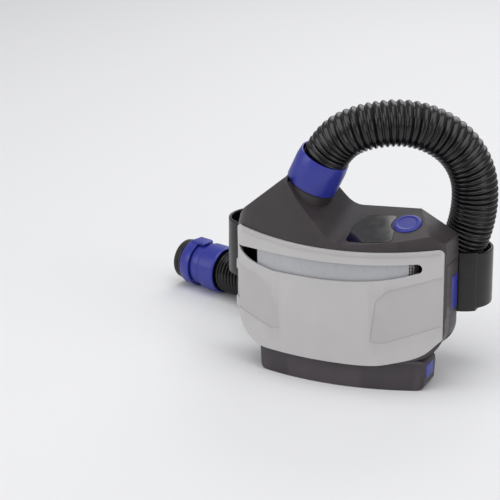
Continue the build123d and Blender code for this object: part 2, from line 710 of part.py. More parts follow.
screw_spots = [(FAN_X + 31 * math.cos(math.radians(a)), FAN_Z + 31 * math.sin(math.radians(a))) for a in (-110, -20, 60)]
with BuildPart() as fan_screws:
    with BuildSketch(Plane.XZ.offset(-LID_FRONT)):
        with Locations(*screw_spots):
            Circle(1.9)
    extrude(amount=1.2)
save(fan_screws, "fan_screws")

exit_plane = Plane.XY.offset(EXIT_TOP)
duct_plane = NECK_PLANE.offset(-36)
duct_mid = (EXIT_LEFT + EXIT_WIDTH / 2, (LID_FRONT + SCROLL_BACK) / 2)


def duct_form(inset):
    """Passage from the fan's oblong exit to the round neck."""
    with BuildPart() as passage:
        with BuildSketch(exit_plane):
            with Locations(duct_mid):
                RectangleRounded(EXIT_WIDTH - 2 * inset, SCROLL_BACK - LID_FRONT - 2 * inset, 4)
        with BuildSketch(duct_plane):
            Circle(OUTLET_BORE - 0.2 - inset)
        loft()
        with BuildSketch(duct_plane):
            Circle(OUTLET_BORE - 0.2 - inset)
        extrude(amount=20)
    return passage.part


duct_outside = duct_form(0)
duct_inside = duct_form(1.6)
with BuildPart() as outlet_duct:
    add(duct_outside)
    add(duct_inside, mode=Mode.SUBTRACT)
save(outlet_duct, "outlet_duct")

# ---------------------------------------------------------------- battery
BATTERY_SETBACK = 1.5
BATTERY_LEFT = BATTERY_X - BATTERY_WIDTH / 2
BATTERY_RIGHT = BATTERY_X + BATTERY_WIDTH / 2
PIVOT_X = BATTERY_LEFT + 2.2
PIVOT_Z = BATTERY_HEIGHT - 1.8
PIVOT_RADIUS = 1.0
PIVOT_LOW_Y = -2.0
PIVOT_LENGTH = 20.0
LUG_WIDTH = 3.0
lug_middles = (PIVOT_LOW_Y + LUG_WIDTH / 2, PIVOT_LOW_Y + PIVOT_LENGTH - LUG_WIDTH / 2)


def battery_form(inset, low, high):
    """Battery block with a front that follows the cover and sides that taper to its foot."""
    foot = BATTERY_FOOT / 2
    sides = [front_y(x) + BATTERY_SETBACK for x in (BATTERY_LEFT, BATTERY_RIGHT)]
    with BuildPart() as block:
        with BuildSketch(Plane.XY.offset(low)) as plan:
            with BuildLine():
                ThreePointArc((BATTERY_LEFT, sides[0]), (FRONT_CENTRE_X, UNIT_FRONT + BATTERY_SETBACK),
                    (BATTERY_RIGHT, sides[1]))
                Polyline((BATTERY_RIGHT, sides[1]), (BATTERY_RIGHT, BATTERY_DEPTH / 2),
                    (BATTERY_LEFT, BATTERY_DEPTH / 2), (BATTERY_LEFT, sides[0]))
            make_face()
            fillet(plan.vertices(), PLAN_CORNER)
            if inset:
                offset(amount=-inset)
        extrude(amount=high - low)
        with BuildSketch(Plane.XZ) as front:
            with BuildLine():
                Polyline((BATTERY_X - foot + inset, low), (BATTERY_X + foot - inset, low),
                    (BATTERY_RIGHT - inset, BATTERY_HEIGHT), (BATTERY_LEFT + inset, BATTERY_HEIGHT),
                    (BATTERY_X - foot + inset, low))
            make_face()
            fillet(front.vertices().group_by(Axis.Z)[0], BATTERY_FOOT_CORNER - inset)
        extrude(amount=60, both=True, mode=Mode.INTERSECT)
    return block.part


LID_LEVEL = BATTERY_HEIGHT - 3.0
battery_outside = battery_form(0, 0, BATTERY_HEIGHT)
battery_inside = battery_form(BATTERY_WALL, BATTERY_WALL, BATTERY_HEIGHT)
BATTERY_LATCH_Y = 6.0
BATTERY_LATCH_WIDTH = 20.0
BATTERY_LATCH_LOW = 12.0
BATTERY_LATCH_HIGH = 26.0

with BuildPart() as battery_case:
    add(battery_outside)
    add(battery_inside, mode=Mode.SUBTRACT)
    with Locations((0, 0, LID_LEVEL + 25)):
        Box(400, 200, 50, mode=Mode.SUBTRACT)
    with Locations((BATTERY_RIGHT, BATTERY_LATCH_Y, (BATTERY_LATCH_LOW + BATTERY_LATCH_HIGH) / 2)):
        Box(20, BATTERY_LATCH_WIDTH, BATTERY_LATCH_HIGH - BATTERY_LATCH_LOW, mode=Mode.SUBTRACT)
save(battery_case, "battery_case")

with BuildPart() as battery_lid:
    add(battery_outside)
    with Locations((0, 0, LID_LEVEL - 50)):
        Box(400, 200, 100, mode=Mode.SUBTRACT)
    with Locations((0, 8, BATTERY_HEIGHT)):
        Box(44, 10, 20, mode=Mode.SUBTRACT)
    # the pivot end: a cut-back corner, a bore for the pin and slots for its lugs
    with BuildSketch(Plane.XZ.offset(BATTERY_DEPTH)):
        with Locations((BATTERY_LEFT, BATTERY_HEIGHT)):
            Rectangle(3.0, 3.0, rotation=45)
        with Locations((PIVOT_X, PIVOT_Z)):
            Circle(PIVOT_RADIUS + 0.05)
    extrude(amount=-2 * BATTERY_DEPTH, mode=Mode.SUBTRACT)
    for middle in lug_middles:
        with Locations((PIVOT_X - 0.6, middle, PIVOT_Z + 2)):
            Box(5.2, LUG_WIDTH + 2 * RUNNING_GAP, 4.6, mode=Mode.SUBTRACT)
save(battery_lid, "battery_lid")

with BuildPart() as battery_pivot:
    with BuildSketch(Plane.XZ.offset(-PIVOT_LOW_Y - PIVOT_LENGTH)):
        with Locations((PIVOT_X, PIVOT_Z)):
            Circle(PIVOT_RADIUS)
    extrude(amount=PIVOT_LENGTH)
    for middle in lug_middles:
        with Locations((PIVOT_X, middle, (PIVOT_Z + UNIT_BOTTOM) / 2)):
            Box(2 * PIVOT_RADIUS, LUG_WIDTH, UNIT_BOTTOM - PIVOT_Z)
save(battery_pivot, "battery_pivot")

with BuildPart() as battery_cells:
    for column in (-1, 0, 1):
        with BuildSketch(Plane.YZ.offset(CELL_GROUP_X + column * (CELL_LENGTH + 1) - CELL_LENGTH / 2)):
            with Locations((-6.9, 12.2), (-6.9 + 2 * CELL_RADIUS + 0.4, 12.2)):
                Circle(CELL_RADIUS)
        extrude(amount=CELL_LENGTH)
save(battery_cells, "battery_cells")

with BuildPart() as battery_board:
    with Locations((0, 8, 23.6)):
        Box(60, 16, 1.6)
save(battery_board, "battery_board")

terminal_spots = [(-14 + 7 * index, 8) for index in range(5)]
with BuildPart() as battery_terminals:
    with BuildSketch(Plane.XY.offset(24.4)):
        with Locations(*terminal_spots):
            Rectangle(3.4, 8)
    extrude(amount=3.2)
save(battery_terminals, "battery_terminals")

with BuildPart() as contact_blades:
    with BuildSketch(Plane.XY.offset(27.9)):
        with Locations(*terminal_spots):
            Rectangle(0.8, 6)
    extrude(amount=12)
save(contact_blades, "contact_blades")

with BuildPart() as contact_block:
    with Locations((0, 8, UNIT_BOTTOM + 4.2)):
        Box(45.4, 11.4, 7.6)
    with BuildSketch(Plane.XY.offset(20)):
        with Locations(*terminal_spots):
            Rectangle(0.8, 6)
    extrude(amount=30, mode=Mode.SUBTRACT)
save(contact_block, "contact_block")

BATTERY_LATCH_TRAVEL = 2.0
with BuildPart() as battery_latch:
    with Locations((BATTERY_RIGHT - 3.2, BATTERY_LATCH_Y, (BATTERY_LATCH_LOW + BATTERY_LATCH_HIGH) / 2)):
        Box(4.4, BATTERY_LATCH_WIDTH - 2 * SLIDE_GAP, BATTERY_LATCH_HIGH - BATTERY_LATCH_LOW - 2 * SLIDE_GAP)
    chamfer(battery_latch.faces().sort_by(Axis.X)[-1].edges(), 0.5)
save(battery_latch, "battery_latch")

battery_spring_shape = coil_spring(
    Plane(origin=(BATTERY_RIGHT - 5.6, BATTERY_LATCH_Y, 19), x_dir=(0, 1, 0), z_dir=(-1, 0, 0)), 2.6, 0.6, 5.6, 4)
with BuildPart() as battery_latch_spring:
    add(battery_spring_shape)
save(battery_latch_spring, "battery_latch_spring")

foot_screws = [(BATTERY_X + x, y) for x in (-68, 68) for y in (-4, 18)]
with BuildPart() as battery_screws:
    with BuildSketch(Plane.XY.offset(LID_LEVEL - 5)):
        with Locations(*foot_screws):
            Circle(1.3)
    extrude(amount=5)
save(battery_screws, "battery_screws")

# rear casing screws, heads sunk in the back
casing_screw_spots = [(-104, 128), (80, 128), (-100, 52), (78, 52)]
with BuildPart() as casing_screws:
    with BuildSketch(Plane.XZ.offset(-UNIT_BACK)):
        with Locations(*casing_screw_spots):
            Circle(3)
    extrude(amount=-1.2)
save(casing_screws, "casing_screws")

# ---------------------------------------------------------------- outlet collar and hose cuff
COLLAR_TOP_RADIUS = 24.0
COLLAR_GAP = 0.5
CUFF_START = 14.0
HOSE_RADIUS = HOSE_DIAMETER / 2

with BuildPart() as outlet_seal:
    with BuildSketch(NECK_PLANE.offset(-SEAL_THICKNESS)):
        Circle(NECK_RADIUS - 0.4)
        Circle(SPIGOT_RADIUS + 0.05, mode=Mode.SUBTRACT)
    extrude(amount=SEAL_THICKNESS)
save(outlet_seal, "outlet_seal")

with BuildPart() as bayonet_collar:
    with BuildSketch(Plane(origin=NECK_PLANE.origin, x_dir=NECK_PLANE.x_dir, z_dir=-NECK_PLANE.y_dir)) as profile:
        with BuildLine():
            Polyline((SPIGOT_RADIUS + COLLAR_GAP, COLLAR_GAP), (COLLAR_RADIUS, COLLAR_GAP),
                (COLLAR_RADIUS + 0.2, COLLAR_LENGTH - 9), (COLLAR_TOP_RADIUS + 0.4, COLLAR_LENGTH),
                (HOSE_RADIUS + COLLAR_GAP, COLLAR_LENGTH), (HOSE_RADIUS + COLLAR_GAP, CUFF_START - 1.6),
                (SPIGOT_RADIUS + COLLAR_GAP, CUFF_START - 1.6), (SPIGOT_RADIUS + COLLAR_GAP, 9.2),
                (SPIGOT_RADIUS + 2.2, 9.2), (SPIGOT_RADIUS + 2.2, 5.4), (SPIGOT_RADIUS + COLLAR_GAP, 5.4),
                (SPIGOT_RADIUS + COLLAR_GAP, COLLAR_GAP))
        make_face()
    revolve(axis=Axis(NECK_PLANE.origin, NECK_PLANE.z_dir))
    # shallow finger flats round the lower band
    with BuildSketch(NECK_PLANE.offset(2)):
        with PolarLocations(COLLAR_RADIUS + 9.3, 6, start_angle=15):
            Rectangle(18.4, 15)
    extrude(amount=COLLAR_LENGTH - 13, mode=Mode.SUBTRACT)
save(bayonet_collar, "bayonet_collar")

with BuildPart() as hose_cuff:
    with BuildSketch(NECK_PLANE.offset(CUFF_START - 1.2)):
        Circle(HOSE_RADIUS - 0.2)
        Circle(HOSE_RADIUS - HOSE_WALL - 2.5, mode=Mode.SUBTRACT)
    extrude(amount=1.2)
    with BuildSketch(NECK_PLANE.offset(CUFF_START)):
        Circle(HOSE_RADIUS - HOSE_WALL - 0.3)
        Circle(HOSE_RADIUS - HOSE_WALL - 2.5, mode=Mode.SUBTRACT)
    extrude(amount=15)
save(hose_cuff, "hose_cuff")

# ---------------------------------------------------------------- breathing hose
TABLE_GAP = 0.1
FAR_HEIGHT = FAR_RADIUS + TABLE_GAP
TABLE_HEIGHT = HOSE_RADIUS + TABLE_GAP
FAR_TURN = 18.0
FAR_START = Vector(-201, 165, FAR_HEIGHT)
FAR_AXIS = Vector(-math.cos(math.radians(FAR_TURN)), math.sin(math.radians(FAR_TURN)), 0)
HOSE_INSERT = 10.0
FAR_STRAIGHT = 54.0
hose_start = NECK_PLANE.origin + NECK_AXIS * CUFF_START
hose_end = FAR_START + FAR_AXIS * HOSE_INSERT
hose_route = [
    hose_start,
    NECK_PLANE.origin + NECK_AXIS * 46,
    Vector(2, 14, 249.5),
    Vector(46, 34, 255),
    Vector(82, 54, 236),
    Vector(101, 66, 202),
    Vector(101, 70, 160),
    Vector(88.5, 70, 120),
    Vector(68, 69, 76),
    Vector(28, 78, 40),
    Vector(-30, 100, TABLE_HEIGHT),
    Vector(-88, 121.5, TABLE_HEIGHT),
    FAR_START - FAR_AXIS * FAR_STRAIGHT,
    hose_end,
]
runs = [(after - before).length for before, after in zip(hose_route, hose_route[1:])]
bends = []
for index in range(1, len(hose_route) - 1):
    turn = (hose_route[index] - hose_route[index - 1]).get_angle(hose_route[index + 1] - hose_route[index])
    shorter = min(runs[index - 1], runs[index])
    bends.append(0.45 * shorter / math.tan(math.radians(turn / 2)))
print("hose runs", [round(run) for run in runs])
print("hose radii", [round(bend) for bend in bends])

with BuildPart() as breathing_tube:
    with BuildLine() as hose_line:
        FilletPolyline(*hose_route, radius=bends)
    with BuildSketch(NECK_PLANE.offset(CUFF_START)):
        Circle(HOSE_RADIUS)
        Circle(HOSE_RADIUS - HOSE_WALL, mode=Mode.SUBTRACT)
    sweep(path=hose_line.wires()[0])
hose_length = hose_line.wires()[0].length
hose_section = math.pi * (HOSE_RADIUS**2 - (HOSE_RADIUS - HOSE_WALL) ** 2)
print("hose length", round(hose_length, 1), "volume ratio", breathing_tube.part.volume / hose_section / hose_length)
save(breathing_tube, "breathing_tube")

# ---------------------------------------------------------------- far end of the hose
FAR_BORE = 17.0
SLEEVE_BORE = 16.6
SLEEVE_END = 34.0
RING_START = 34.4
RING_END = 46.5
CONNECTOR_END = 58.0
SLEEVE_RADIUS = 21.8
END_RADIUS = 20.6
far_profile_plane = Plane(origin=FAR_START, x_dir=(0, 0, 1), z_dir=Vector(0, 0, 1).cross(FAR_AXIS))
far_axis_line = Axis(FAR_START, FAR_AXIS)


def far_ring(points):
    """Turned ring about the hose's far axis, from its (radius, distance) profile."""
    with BuildPart() as ring:
        with BuildSketch(far_profile_plane):
            with BuildLine():
                Polyline(*points, points[0])
            make_face()
        revolve(axis=far_axis_line)
    return ring.part


far_collar_shape = far_ring([(HOSE_RADIUS + 0.3, 0), (FAR_RADIUS - 0.8, 0), (FAR_RADIUS, 2), (FAR_RADIUS, 20),
    (FAR_RADIUS - 1.2, 22), (20.1, 22), (20.1, HOSE_INSERT + 0.2), (HOSE_RADIUS + 0.3, HOSE_INSERT + 0.2)])
with BuildPart() as far_collar:
    add(far_collar_shape)
save(far_collar, "far_collar")

far_sleeve_shape = far_ring([(SLEEVE_BORE, HOSE_INSERT), (19.9, HOSE_INSERT), (19.9, 22.2), (SLEEVE_RADIUS - 0.6, 22.2),
    (SLEEVE_RADIUS, 24), (SLEEVE_RADIUS, SLEEVE_END), (18.6, SLEEVE_END), (18.6, 44), (SLEEVE_BORE, 44)])
with BuildPart() as far_sleeve:
    add(far_sleeve_shape)
save(far_sleeve, "far_sleeve")

end_connector_shape = far_ring([(18.65, SLEEVE_END + 0.4), (20.4, SLEEVE_END + 0.4), (END_RADIUS, 36), (END_RADIUS, 48),
    (END_RADIUS + 1.4, 49), (END_RADIUS + 1.4, 51), (END_RADIUS, 51.6), (END_RADIUS, 52.4), (END_RADIUS - 1.4, 52.4),
    (END_RADIUS - 1.4, 55.6), (END_RADIUS, 55.6), (END_RADIUS, CONNECTOR_END - 0.6),
    (END_RADIUS - 0.6, CONNECTOR_END), (FAR_BORE, CONNECTOR_END), (FAR_BORE, 44.3), (18.65, 44.3)])
with BuildPart() as end_connector:
    add(end_connector_shape)
save(end_connector, "end_connector")

end_seal_shape = far_ring([(END_RADIUS - 1.4, 52.6), (END_RADIUS - 1.4, 55.4), (END_RADIUS + 0.2, 55.2),
    (END_RADIUS + 0.6, 54), (END_RADIUS + 0.2, 52.8)])
with BuildPart() as end_seal:
    add(end_seal_shape)
save(end_seal, "end_seal")

release_ring_shape = far_ring([(22.2, RING_START), (24.2, RING_START), (24.4, RING_START + 1.5),
    (24.4, RING_END - 1.5), (23.6, RING_END), (22.3, RING_END)])
with BuildPart() as release_ring:
    add(release_ring_shape)
    # thumb tab that reaches back over the sleeve
    with BuildSketch(far_profile_plane):
        with BuildLine():
            Polyline((22.6, 26.4), (24.4, 25.6), (25.6, 27.6), (25.6, RING_END - 4), (24, RING_END - 2), (23, RING_END - 2),
                (23, RING_START + 1), (22.6, RING_START - 1), (22.6, 26.4))
        make_face()
    extrude(amount=7, both=True)
save(release_ring, "release_ring")

# ---------------------------------------------------------------- belt
BELT_FRONT_Y = UNIT_BACK + BRACKET_PLATE + 0.5
BELT_MID_Y = BELT_FRONT_Y + BELT_LOOP_DEPTH / 2
BELT_MID_Z = BELT_LOW + BELT_HEIGHT / 2
BUCKLE_X = -35.0
BUCKLE_WIDTH = 64.0
BUCKLE_DEPTH = 11.0
BUCKLE_HEIGHT = BELT_HEIGHT + 8
BELT_BACK_Y = BELT_FRONT_Y + BELT_LOOP_DEPTH
EDGE_GAP = 0.4


def belt_loop_face(outset):
    """Loop of the belt seen from above, grown outwards from its inner face."""
    with BuildSketch() as loop:
        with Locations((BELT_X, BELT_MID_Y)):
            SlotOverall(BELT_LOOP_WIDTH + 2 * outset, BELT_LOOP_DEPTH + 2 * outset)
    return loop.sketch


with BuildPart() as belt:
    with BuildSketch(Plane.XY.offset(BELT_LOW)):
        add(belt_loop_face(0))
        add(belt_loop_face(-BELT_THICKNESS), mode=Mode.SUBTRACT)
    extrude(amount=BELT_HEIGHT)
    with Locations((BUCKLE_X, BELT_BACK_Y, BELT_MID_Z)):
        Box(BUCKLE_WIDTH - 24, 20, 2 * BELT_HEIGHT, mode=Mode.SUBTRACT)
save(belt, "belt")

# tail of the belt, lapped outside the back run
TAIL_LENGTH = 96.0
TAIL_GAP = 0.3
TAIL_START = BUCKLE_X + BUCKLE_WIDTH / 2 + 4
with BuildPart() as belt_tail:
    with Locations((TAIL_START + TAIL_LENGTH / 2, BELT_BACK_Y + BELT_THICKNESS / 2 + TAIL_GAP, BELT_MID_Z)):
        Box(TAIL_LENGTH, BELT_THICKNESS, BELT_HEIGHT)
    fillet(belt_tail.edges().filter_by(Axis.Y).group_by(Axis.X)[-1], 14)
save(belt_tail, "belt_tail")

BRACKET_SCREW_RADIUS = 3.0
bracket_spots = [(UNIT_CENTRE_X + dx, BELT_MID_Z + dz) for dx in (-20, 20) for dz in (-24, 24)]
with BuildPart() as belt_bracket:
    with Locations((UNIT_CENTRE_X, UNIT_BACK + BRACKET_PLATE / 2, BELT_MID_Z)):
        Box(150, BRACKET_PLATE, BELT_HEIGHT + 12)
    fillet(belt_bracket.edges().filter_by(Axis.Y), 8)
    # channels that the belt runs through
    for side in (-1, 1):
        with Locations((UNIT_CENTRE_X + side * 52, UNIT_BACK + BRACKET_PLATE + 3, BELT_MID_Z)):
            Box(26, 6, BELT_HEIGHT + 8)
    with Locations((UNIT_CENTRE_X, BELT_FRONT_Y + BELT_THICKNESS / 2, BELT_MID_Z)):
        Box(160, BELT_THICKNESS + 2 * EDGE_GAP, BELT_HEIGHT + 2 * EDGE_GAP, mode=Mode.SUBTRACT)
    with BuildSketch(Plane.XZ.offset(-UNIT_BACK)):
        with Locations(*bracket_spots):
            Circle(BRACKET_SCREW_RADIUS + 0.1)
    extrude(amount=-BRACKET_PLATE, mode=Mode.SUBTRACT)
save(belt_bracket, "belt_bracket")

with BuildPart() as bracket_screws:
    with BuildSketch(Plane.XZ.offset(-UNIT_BACK)):
        with Locations(*bracket_spots):
            Circle(BRACKET_SCREW_RADIUS)
    extrude(amount=-BRACKET_PLATE)
save(bracket_screws, "bracket_screws")

KEEPER_WALL = 1.4
KEEPER_GAP = 0.25
KEEPER_X = 102.5
KEEPER_WIDTH = 18.0
TAIL_KEEPER_X = BUCKLE_X + BUCKLE_WIDTH / 2 + 28
keeper_low = BELT_LOW - KEEPER_GAP
keeper_high = BELT_LOW + BELT_HEIGHT + KEEPER_GAP
with BuildPart() as belt_keepers:
    # sleeve that follows the belt round the start of its right-hand bend
    with BuildSketch(Plane.XY.offset(keeper_low - KEEPER_WALL)):
        add(belt_loop_face(KEEPER_GAP + KEEPER_WALL))
        add(belt_loop_face(-BELT_THICKNESS - KEEPER_GAP - KEEPER_WALL), mode=Mode.SUBTRACT)
        with Locations((KEEPER_X, BELT_FRONT_Y)):
            Rectangle(KEEPER_WIDTH, BELT_LOOP_DEPTH - 8, mode=Mode.INTERSECT)
    extrude(amount=BELT_HEIGHT + 2 * (KEEPER_GAP + KEEPER_WALL))
    with BuildSketch(Plane.XY.offset(keeper_low)):
        add(belt_loop_face(KEEPER_GAP))
        add(belt_loop_face(-BELT_THICKNESS - KEEPER_GAP), mode=Mode.SUBTRACT)
    extrude(amount=BELT_HEIGHT + 2 * KEEPER_GAP, mode=Mode.SUBTRACT)
    # flat sleeve that holds the belt's tail against its back run
    tail_channel = 2 * BELT_THICKNESS + TAIL_GAP + 2 * KEEPER_GAP
    with Locations((TAIL_KEEPER_X, BELT_BACK_Y + TAIL_GAP / 2, BELT_MID_Z)):
        Box(14, tail_channel + 2 * KEEPER_WALL, BELT_HEIGHT + 2 * (KEEPER_GAP + KEEPER_WALL))
        Box(20, tail_channel, BELT_HEIGHT + 2 * KEEPER_GAP, mode=Mode.SUBTRACT)
save(belt_keepers, "belt_keepers")

buckle_y = BELT_BACK_Y - BELT_THICKNESS / 2
SLOT_DEPTH = BELT_THICKNESS + 0.8
with BuildPart() as buckle_socket:
    with Locations((BUCKLE_X - BUCKLE_WIDTH / 4, buckle_y, BELT_MID_Z)):
        Box(BUCKLE_WIDTH / 2, BUCKLE_DEPTH, BUCKLE_HEIGHT)
    fillet(buckle_socket.edges().filter_by(Axis.Y), 5)
    with Locations((BUCKLE_X - BUCKLE_WIDTH / 2, buckle_y, BELT_MID_Z)):
        Box(27, SLOT_DEPTH, BELT_HEIGHT + 1, mode=Mode.SUBTRACT)
    with Locations((BUCKLE_X - 7, buckle_y, BELT_MID_Z)):
        Box(16, 6.4, 50, mode=Mode.SUBTRACT)
save(buckle_socket, "buckle_socket")

with BuildPart() as buckle_plug:
    with Locations((BUCKLE_X + BUCKLE_WIDTH / 4 + 0.2, buckle_y, BELT_MID_Z)):
        Box(BUCKLE_WIDTH / 2 - 0.4, BUCKLE_DEPTH, BUCKLE_HEIGHT)
    fillet(buckle_plug.edges().filter_by(Axis.Y), 5)
    with Locations((BUCKLE_X + BUCKLE_WIDTH / 2, buckle_y, BELT_MID_Z)):
        Box(27, SLOT_DEPTH, BELT_HEIGHT + 1, mode=Mode.SUBTRACT)
    for prong in (-18, 0, 18):
        with Locations((BUCKLE_X - 6, buckle_y, BELT_MID_Z + prong)):
            Box(13.4, 4.6, 8)
save(buckle_plug, "buckle_plug")
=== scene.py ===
"""Looks for a belt-worn powered air respirator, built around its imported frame.

The unit stands on its battery: a dark moulded casing with a grey filter cover, a corrugated
breathing hose that arches over to the back, and a wipe-clean waist belt.
"""

import json
import logging
import math
from dataclasses import dataclass, field
from enum import Enum
from typing import Any, Iterable, Sequence

import bmesh
import bpy
import numpy as np
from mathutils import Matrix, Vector


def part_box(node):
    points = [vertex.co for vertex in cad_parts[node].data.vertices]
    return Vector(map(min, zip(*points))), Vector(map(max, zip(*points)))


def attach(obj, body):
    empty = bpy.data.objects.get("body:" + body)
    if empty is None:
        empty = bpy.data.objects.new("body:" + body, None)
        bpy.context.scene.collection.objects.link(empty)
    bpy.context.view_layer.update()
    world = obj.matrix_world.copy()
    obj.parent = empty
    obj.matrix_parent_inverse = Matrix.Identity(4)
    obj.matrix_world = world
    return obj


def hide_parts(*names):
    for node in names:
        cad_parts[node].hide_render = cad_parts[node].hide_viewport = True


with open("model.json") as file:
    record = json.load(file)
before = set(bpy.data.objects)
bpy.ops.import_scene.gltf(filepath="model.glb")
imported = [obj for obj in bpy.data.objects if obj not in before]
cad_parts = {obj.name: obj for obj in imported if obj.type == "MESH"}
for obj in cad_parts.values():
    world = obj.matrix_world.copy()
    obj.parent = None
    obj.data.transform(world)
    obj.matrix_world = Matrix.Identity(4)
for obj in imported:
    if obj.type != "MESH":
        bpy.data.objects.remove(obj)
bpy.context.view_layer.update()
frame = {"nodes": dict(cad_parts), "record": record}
MM = 0.001
LOG = logging.getLogger("respirator")


# ---------------------------------------------------------------- materials
def linear(code: str) -> tuple[float, float, float, float]:
    """Turn an sRGB hex colour into linear light.

    Args:
        code: colour such as "#C4C0C0".

    Returns:
        Linear red, green, blue and an alpha of 1.
    """
    parts = [int(code[i : i + 2], 16) / 255 for i in (1, 3, 5)]
    return tuple(p / 12.92 if p <= 0.04045 else ((p + 0.055) / 1.055) ** 2.4 for p in parts) + (1.0,)


def per_metre(size_mm: float) -> float:
    """Texture scale that gives a pattern of this size in millimetres."""
    return 1000.0 / size_mm


def add_node(tree: bpy.types.NodeTree, kind: str, settings: dict[str, Any] | None = None,
        **inputs: Any) -> bpy.types.Node:
    """Add one shader node.

    Args:
        tree: the material's node tree.
        kind: the node's type name after "ShaderNode".
        settings: the node's own properties.
        inputs: socket values or output sockets to link, by socket name with _ for a space.

    Returns:
        The new node.
    """
    node = tree.nodes.new("ShaderNode" + kind)
    for key, value in (settings or {}).items():
        setattr(node, key, value)
    for key, value in inputs.items():
        socket = node.inputs[int(key[1:])] if key[1:].isdigit() else node.inputs[key.replace("_", " ")]
        if isinstance(value, bpy.types.NodeSocket):
            tree.links.new(value, socket)
        else:
            socket.default_value = value
    return node


def fresh_tree(name: str) -> tuple[bpy.types.Material, bpy.types.NodeTree]:
    """Make an empty node material.

    Args:
        name: the material's name.

    Returns:
        The material and its node tree.
    """
    material = bpy.data.materials.new(name)
    material.use_nodes = True
    material.node_tree.nodes.clear()
    return material, material.node_tree


@dataclass(frozen=True)
class Moulded:
    """Injection-moulded plastic or rubber with a spark-eroded skin.

    The tool's fine texture breaks the highlight into a satin glow, and the raised edges get a
    painted highlight, a lighter colour where the mesh is pointy.
    """

    name: str
    colour: str
    shade: str
    roughness: float
    grain_mm: float = 0.9
    relief: float = 0.12
    coat: float = 0.0
    ior: float = 1.5
    # strength of the painted highlight drawn on raised edges
    edge: float = 0.25
    specular: float = 0.5

    def build(self) -> bpy.types.Material:
        """Make the material.

        Returns:
            The finished material.
        """
        material, tree = fresh_tree(self.name)
        place = add_node(tree, "TexCoord").outputs["Object"]
        # slow drift of tone across the moulding
        cloud = add_node(tree, "TexNoise", Vector=place, Scale=per_metre(38), Detail=3.0, Roughness=0.55)
        tone = add_node(tree, "MapRange", Value=cloud.outputs["Fac"], From_Min=0.3, From_Max=0.7,
            To_Min=0.0, To_Max=1.0)
        body = add_node(tree, "Mix", {"data_type": "RGBA"}, _0=tone.outputs["Result"], _6=linear(self.shade),
            _7=linear(self.colour))
        # painted highlight: raised edges drawn lighter where the mesh is pointy, standing in for light caught
        # by the edges
        edge_highlight_mask = add_node(tree, "MapRange", Value=add_node(tree, "NewGeometry").outputs["Pointiness"],
            From_Min=0.52, From_Max=0.60, To_Min=0.0, To_Max=self.edge)
        highlight_colour = tuple(min(1.0, c * 1.9 + 0.01) for c in linear(self.colour)[:3]) + (1.0,)
        highlighted_body = add_node(tree, "Mix", {"data_type": "RGBA"}, _0=edge_highlight_mask.outputs["Result"], _6=body.outputs[2],
            _7=highlight_colour)
        # the tool's grain, and faint smears from wiping
        grain = add_node(tree, "TexNoise", Vector=place, Scale=per_metre(self.grain_mm), Detail=2.0,
            Roughness=0.6)
        smear = add_node(tree, "TexNoise", Vector=place, Scale=per_metre(14), Detail=4.0, Roughness=0.6,
            Distortion=0.8)
        gloss = add_node(tree, "MapRange", Value=smear.outputs["Fac"], From_Min=0.3, From_Max=0.7,
            To_Min=self.roughness - 0.05, To_Max=self.roughness + 0.06)
        bump = add_node(tree, "Bump", Strength=self.relief, Distance=0.0004, Height=grain.outputs["Fac"])
        shader = add_node(tree, "BsdfPrincipled", Base_Color=highlighted_body.outputs[2],
            Roughness=gloss.outputs["Result"],
            IOR=self.ior, Coat_Weight=self.coat, Coat_Roughness=0.18, Specular_IOR_Level=self.specular,
            Normal=bump.outputs["Normal"])
        add_node(tree, "OutputMaterial", Surface=shader.outputs["BSDF"])
        return material


@dataclass(frozen=True)
class Metal:
    """Rolled or turned metal: fine parallel lines that stretch the highlight."""

    name: str
    colour: str
    roughness: float
    line_mm: float = 0.6
    relief: float = 0.15

    def build(self) -> bpy.types.Material:
        """Make the material.

        Returns:
            The finished material.
        """
        material, tree = fresh_tree(self.name)
        place = add_node(tree, "TexCoord").outputs["Object"]
        pulled = add_node(tree, "Mapping", Vector=place, Scale=(0.06, 1.0, 1.0))
        lines = add_node(tree, "TexNoise", Vector=pulled.outputs["Vector"], Scale=per_metre(self.line_mm),
            Detail=3.0)
        gloss = add_node(tree, "MapRange", Value=lines.outputs["Fac"], From_Min=0.3, From_Max=0.7,
            To_Min=self.roughness - 0.08, To_Max=self.roughness + 0.1)
        bump = add_node(tree, "Bump", Strength=self.relief, Distance=0.0002, Height=lines.outputs["Fac"])
        shader = add_node(tree, "BsdfPrincipled", Base_Color=linear(self.colour), Metallic=1.0,
            Roughness=gloss.outputs["Result"], Normal=bump.outputs["Normal"])
        add_node(tree, "OutputMaterial", Surface=shader.outputs["BSDF"])
        return material


